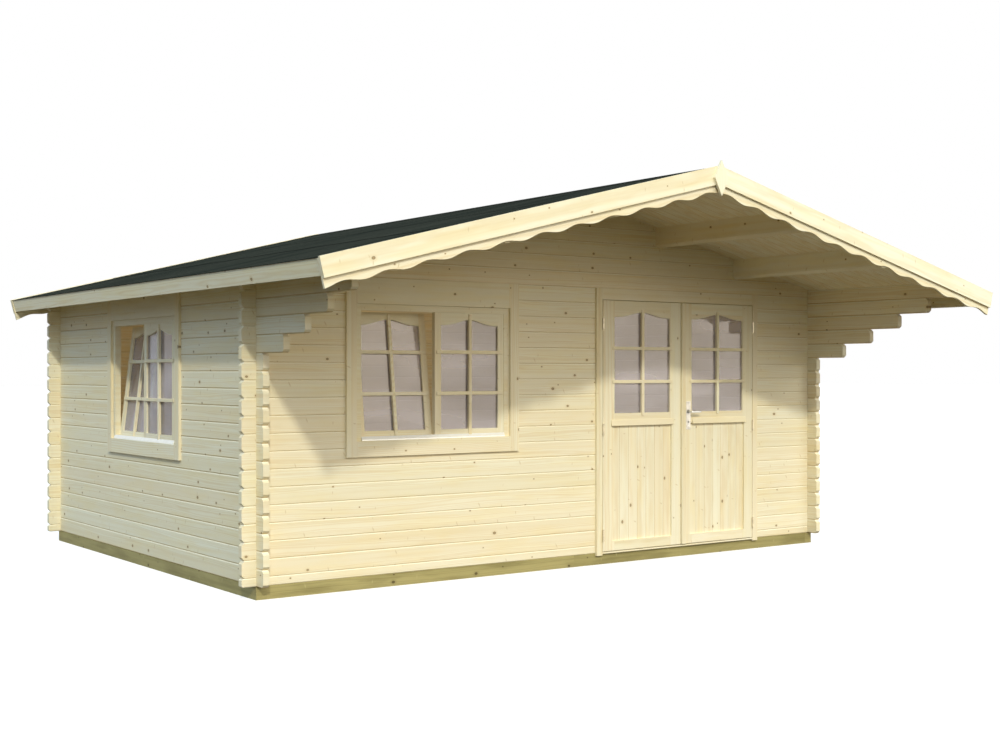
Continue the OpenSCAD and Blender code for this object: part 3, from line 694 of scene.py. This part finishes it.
def floor_boards():
    """Boards of the floor, side by side from front to back."""
    low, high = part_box("floor_boards")
    count = round((high.y - low.y) / FLOOR_BOARD_W)
    width = (high.y - low.y) / count
    bm = bmesh.new()
    for i in range(count):
        add_block(bm, (low.x, low.y + i * width, low.z), (high.x, low.y + (i + 1) * width - FIT, high.z),
                  FLOOR_BOARD_ROUND, segments=1)
    wood = timber("floor_board_spruce", boards_across(width, low.y), 32, width=width, knots=0.2)
    new_piece("floor_boarding", bm, (wood,), "cabin", "floor_boards")


def felt_strips(felt):
    """Strips of felt along the eaves, each lapped over the one below, and a cap over the ridge."""
    low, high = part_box("roof_felt")
    sheet_top = ROOF_BOARD_T + FIT + FELT_T
    length = slope_length(high.x, sheet_top)
    top = sheet_top + FIT / 2
    bm = bmesh.new()
    for side in (1, -1):
        place = slope_place(side)
        lower = length - FELT_STRIP_W + FELT_LAP
        while lower > FELT_LAP:
            upper = max(lower - FELT_STRIP_W, RIDGE_CAP_W - RIDGE_CAP_LAP)
            verts = add_block(bm, (upper, low.y, top), (lower, high.y, top + FELT_EDGE_T),
                              FELT_ROUND, segments=1)
            for vert in verts:
                if vert.co.z > top + FELT_EDGE_T / 2:
                    vert.co.z -= (FELT_EDGE_T - FELT_THIN_T) * (lower - vert.co.x) / (lower - upper)
            bmesh.ops.transform(bm, matrix=place, verts=verts)
            lower -= FELT_STRIP_W - FELT_LAP
        verts = add_block(bm, (FIT / 2, low.y, top), (RIDGE_CAP_W, high.y, top + RIDGE_CAP_T),
                          FELT_ROUND, segments=1)
        for vert in verts:
            vert.co.z += RIDGE_CAP_T * vert.co.x / RIDGE_CAP_W
        cut_plumb(verts, RIDGE_CAP_W / 2)
        bmesh.ops.transform(bm, matrix=place, verts=verts)
    bmesh.ops.recalc_face_normals(bm, faces=bm.faces)
    new_piece("felt_strips", bm, (felt,), "cabin")


def low_finial(wood):
    """The back gable's diamond, cut off level with the bargeboards so that the ridge hides it."""
    low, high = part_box("back_finial")
    middle, size = (low + high) / 2, high - low
    shape = Matrix.Translation(middle) @ Matrix.Diagonal((size.x, size.y, size.z, 1.0))
    bm = bmesh.new()
    bmesh.ops.create_cone(bm, cap_ends=True, segments=4, radius1=0.5, radius2=0.5, depth=1.0,
                          matrix=shape @ Matrix.Rotation(math.pi / 2, 4, "X"))
    cut = bmesh.ops.bisect_plane(bm, geom=bm.verts[:] + bm.edges[:] + bm.faces[:], clear_outer=True,
                                 plane_co=(0.0, 0.0, high.z - FINIAL_CUT), plane_no=(0.0, 0.0, 1.0))
    bmesh.ops.edgeloop_fill(bm, edges=[e for e in cut["geom_cut"] if isinstance(e, bmesh.types.BMEdge)])
    bmesh.ops.bevel(bm, geom=bm.edges[:], offset=FINIAL_ROUND, segments=2, profile=0.5,
                    affect="EDGES", material=-1)
    bmesh.ops.recalc_face_normals(bm, faces=bm.faces)
    new_piece("back_finial_board", bm, (wood,), "cabin", "back_finial")


def add_disc(bm, centre, facing, radius, rise):
    """A low round boss that narrows a little, standing out from a plate."""
    place = Matrix.Translation(centre) @ facing @ Matrix.Translation((0.0, 0.0, rise / 2))
    bmesh.ops.create_cone(bm, cap_ends=True, segments=24, radius1=radius, radius2=radius * DISC_TAPER,
                          depth=rise, matrix=place)


def add_collar(bm, centre, facing):
    """A collar round the lever's spindle, spun from a small profile."""
    profile = [bm.verts.new((radius, 0.0, z)) for radius, z in COLLAR]
    loop = [bm.edges.new(pair) for pair in zip(profile, profile[1:] + profile[:1])]
    before = set(bm.faces)
    bmesh.ops.spin(bm, geom=profile + loop, cent=(0, 0, 0), axis=(0, 0, 1), angle=2 * math.pi, steps=32,
                   use_merge=True)
    faces = [f for f in bm.faces if f not in before]
    bmesh.ops.recalc_face_normals(bm, faces=faces)
    bmesh.ops.transform(bm, matrix=Matrix.Translation(centre) @ facing,
                        verts=list({v for f in faces for v in f.verts}))


def sort_by_place(parts, place):
    """Gives points or faces a fixed order, since a spin's order changes from run to run."""
    order = {part: i for i, part in enumerate(sorted(parts, key=place))}
    parts.sort(key=order.get)


def lock_fittings(steel, dark):
    """Collars, keyholes and screws on both faces of the lock plates."""
    low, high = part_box("lock_plates")
    x, _, axis_z = next(j["pos_m"] for j in frame["joints"] if j["name"] == "lever_turn")
    drop, radius, boss_rise = KEY_BOSS
    bm = bmesh.new()
    for y, out in ((low.y, -1.0), (high.y, 1.0)):
        facing = Matrix.Rotation(math.radians(90.0 * out), 4, "X")
        add_disc(bm, (x, y, axis_z - drop), facing, radius, boss_rise)
        for z in (low.z + SCREW_END, high.z - SCREW_END):
            add_disc(bm, (x, y, z), facing, SCREW_R, SCREW_RISE)
        # The slot's dark material is painted shade standing for the hollow keyway
        for foot, head, half, rise, round_by, material in (KEY_PLUG, KEY_SLOT):
            near, far = sorted((y, y + out * rise))
            add_block(bm, (x - half, near, axis_z - foot), (x + half, far, axis_z - head), round_by,
                      material=material)
        add_collar(bm, (x, y, axis_z), facing)
    sort_by_place(bm.verts, lambda vert: vert.co.to_tuple())
    sort_by_place(bm.faces, lambda face: face.calc_center_median().to_tuple())
    new_piece("lock_fittings", bm, (steel, dark), "right_door")


def dress_walls():
    """Finishes of logs, bearers and joists."""
    front_logs = ("front_lower_logs", "front_corner_logs", "front_middle_logs", "front_right_logs",
                  "front_upper_logs")
    for i, name in enumerate(front_logs):
        dress(name, timber(f"{name}_spruce", logs_along_x(-WALL_Y), 1 + i, width=LOG_H))
    for i, name in enumerate(("back_wall_logs", "back_gable_logs")):
        dress(name, timber(f"{name}_spruce", logs_along_x(WALL_Y), 8 + i, width=LOG_H))
    for i, name in enumerate(("left_lower_logs", "left_front_logs", "left_rear_logs", "left_upper_logs")):
        dress(name, timber(f"{name}_spruce", logs_along_y(-WALL_X), 11 + i, width=LOG_H, knots=0.45,
                           joint=SIDE_JOINT))
    dress("right_wall_logs", timber("right_wall_logs_spruce", logs_along_y(WALL_X), 16, width=LOG_H,
                                    knots=0.45, joint=SIDE_JOINT))

    dress("base_frame", timber("bearer_treated", bearers, 21, TREATED, knots=0.85))
    dress("floor_joists", timber("joist_treated", joists_along_y, 33, TREATED, knots=0.4))


def dress_roof():
    """Finishes of the roof's timber and felt, with the boards of roof and floor."""
    dress("purlins", timber("purlin_spruce", beams_along_y, 22))
    dress("eave_boards", timber("eave_board_spruce", boards_along_y, 23, knots=0.5))
    gable_boards = ("front_bargeboards", "front_wave_boards", "back_bargeboards", "back_wave_boards")
    for i, name in enumerate(gable_boards):
        dress(name, timber(f"{name}_spruce", boards_down_slope, 24 + i, knots=0.6))
    finial = timber("finial_spruce", upright_boards(0.6, -0.3), 29, knots=0.0)
    dress("front_finial", finial)
    low_finial(finial)

    felt = mineral_felt()
    dress("roof_felt", felt)
    roof_boards()
    floor_boards()
    felt_strips(felt)


def dress_doors(bars):
    """Finishes of the door's timber, with its bars, boards, drip rails and bead."""
    door_middle = (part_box("left_leaf")[1].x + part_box("right_leaf")[0].x) / 2
    casing = timber("door_casing_spruce", framed((door_middle,), DOOR_HALF), 40)
    dress("door_frame", casing)
    dress("door_casing", casing)
    for leaf, body, seed in (("left_leaf", "left_door", 41), ("right_leaf", "right_door", 45)):
        low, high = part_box(leaf)
        glass_low, glass_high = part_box(f"{leaf}_glass")
        middle = (low.x + high.x) / 2
        half = (glass_high.x - glass_low.x) / 2 - LIP_LAP
        wood = timber(f"{leaf}_spruce", framed((middle,), half), seed)
        dress(leaf, wood)
        door_bars(leaf, body, bars)
        board_panel(leaf, body, seed + 1)
        left = middle - DRIP_HALF if body == "left_door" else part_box("lock_plates")[1].x + DRIP_FROM_LOCK
        drip_rail(left, middle + DRIP_HALF, low.y, body, bars[1])
        if body == "left_door":
            meeting_bead(low, high, body, wood)
    dress("cover_strip", timber("cover_strip_spruce", upright_boards(0.6, 0.8), 49, knots=0.05))


def dress_windows(bars):
    """Finishes of the windows' timber, with the bars of their sashes."""
    for window, side, seed in (("front_window", "x", 51), ("left_window", "y", 61)):
        low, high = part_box(f"{window}_frame")
        axis = 0 if side == "x" else 1
        centre = (low[axis] + high[axis]) / 2
        sashes = (centre - SASH_W / 2, centre + SASH_W / 2)
        outer = timber(f"{window}_casing_spruce", framed((centre,), WINDOW_HALF, side), seed)
        dress(f"{window}_casing", outer)
        dress(f"{window}_frame", outer)
        members = framed(sashes, SASH_W / 2 - SASH_STILE, side)
        dress(f"{window}_sashes", timber(f"{window}_sash_spruce", members, seed + 1, knots=0.08))
        window_bars(window, side, bars)


def dress_metal():
    """Finishes of hinges, lock, lever and sills, with the lock's fittings."""
    zinc = satin_metal("hinge_zinc", (0.66, 0.585, 0.43), 0.42)
    for name in ("hinge_pins", "left_leaf_hinges", "right_leaf_hinges"):
        dress(name, zinc)
    steel = satin_metal("satin_steel", (0.82, 0.82, 0.81), 0.32)
    dress("door_lever", steel)
    dress("lock_plates", satin_metal("lock_plate_steel", (0.62, 0.60, 0.55), 0.38))
    lock_fittings(steel, satin_metal("keyhole_dark", (0.05, 0.05, 0.05), 0.5))
    dress("window_sills", satin_metal("white_sill_enamel", (0.95, 0.95, 0.93), 0.25,
                                      metal=0.25, wear=0.96))


def dress_cabin():
    """Gives every node of the frame its finish and adds the scene's own pieces."""
    dress_walls()
    dress_roof()
    glass = window_glass()
    for name in ("left_leaf_glass", "right_leaf_glass", "front_window_glass", "left_window_glass"):
        dress(name, glass)
    bars = (timber("upright_bar_spruce", upright_boards(0.6, -3.0), 71, knots=0.05),
            timber("level_bar_spruce", boards_across(0.5, -3.0), 72, knots=0.05))
    dress_doors(bars)
    dress_windows(bars)
    dress_metal()


def lamp(name, heading, strength, colour, spread):
    """A distant soft light that shines along heading."""
    light = bpy.data.lights.new(name, "SUN")
    light.energy = strength
    light.color = colour
    light.angle = math.radians(spread)
    made = bpy.data.objects.new(name, light)
    made.rotation_euler = Vector(heading).to_track_quat("-Z", "Y").to_euler()
    bpy.context.scene.collection.objects.link(made)


def seen(tree):
    """1 for rays that look at the background straight, in a mirror or through glass."""
    path = tree.node("ShaderNodeLightPath", output="Is Camera Ray")
    looks = path + path.output("Is Glossy Ray") + path.output("Is Transmission Ray")
    return looks.math("MINIMUM", looks, 1.0)


def studio():
    """White background, pale floor that keeps a soft shadow, low sun, soft fill and a glow indoors."""
    world = bpy.data.worlds.new("studio_world")
    world.cycles.sampling_method = "NONE"
    bpy.context.scene.world = world
    sky = Finish(world)
    height = sky.split(sky.node("ShaderNodeTexCoord", output="Generated"))[2]
    strength = 0.45 + height.math("MAXIMUM", height, 0.0) * 1.3
    plain = sky.node("ShaderNodeBackground", None,
                     {"Color": (0.61, 0.77, 0.905, 1.0), "Strength": strength})
    white = sky.node("ShaderNodeBackground", None, {"Color": (1.0, 1.0, 1.0, 1.0), "Strength": 1.0})
    mixed = sky.node("ShaderNodeMixShader", None, {0: seen(sky), 1: plain, 2: white})
    sky.links.new(mixed.socket, sky.nodes["World Output"].inputs["Surface"])

    bm = bmesh.new()
    bmesh.ops.create_grid(bm, x_segments=1, y_segments=1, size=120.0)
    mesh = bpy.data.meshes.new("studio_floor")
    bm.to_mesh(mesh)
    bm.free()
    floor = bpy.data.objects.new("studio_floor", mesh)
    bpy.context.scene.collection.objects.link(floor)
    floor.visible_glossy = False
    paint = new_finish("studio_floor")
    paint.owner.cycles.emission_sampling = "NONE"
    dull = paint.node("ShaderNodeBsdfDiffuse", None, {"Color": (0.05, 0.036, 0.012, 1.0)})
    pale = paint.node("ShaderNodeBsdfDiffuse", None, {"Color": (0.40, 0.40, 0.40, 1.0)})
    glow = paint.node("ShaderNodeEmission", None, {"Color": (1.0, 1.0, 1.0, 1.0), "Strength": 0.72})
    shown = paint.node("ShaderNodeAddShader", None, {0: pale, 1: glow})
    surface = paint.node("ShaderNodeMixShader", None, {0: seen(paint), 1: dull, 2: shown})
    paint.links.new(surface.socket, paint.nodes["Material Output"].inputs["Surface"])
    mesh.materials.append(paint.owner)

    lamp("low_sun", (0.806, 1.489, -1.116), strength=1.446, colour=(1.0, 0.971, 0.804), spread=2.5)
    lamp("front_fill", (-0.25, 0.95, -0.42), strength=1.98, colour=(1.0, 0.85, 0.61), spread=80.0)

    room = bpy.data.lights.new("room_glow", "POINT")
    room.energy = 16.5
    room.color = (1.0, 0.88, 0.72)
    room.shadow_soft_size = 0.4
    made = bpy.data.objects.new("room_glow", room)
    made.location = (0.0, 0.2, 1.5)
    bpy.context.scene.collection.objects.link(made)


def photo_camera():
    """A camera at eye height, in front of the left corner."""
    data = bpy.data.cameras.new("photo_camera")
    data.sensor_width = 36.0
    data.lens = CAMERA_LENS
    data.shift_x, data.shift_y = CAMERA_SHIFT
    camera = bpy.data.objects.new("photo_camera", data)
    level = math.cos(CAMERA_PITCH)
    heading = Vector((level * math.sin(CAMERA_YAW), level * math.cos(CAMERA_YAW),
                      math.sin(CAMERA_PITCH)))
    camera.location = CAMERA_PLACE
    camera.rotation_euler = heading.to_track_quat("-Z", "Y").to_euler()
    bpy.context.scene.collection.objects.link(camera)
    bpy.context.scene.camera = camera


dress_cabin()
studio()
photo_camera()
bpy.context.scene.view_settings.view_transform = "Standard"
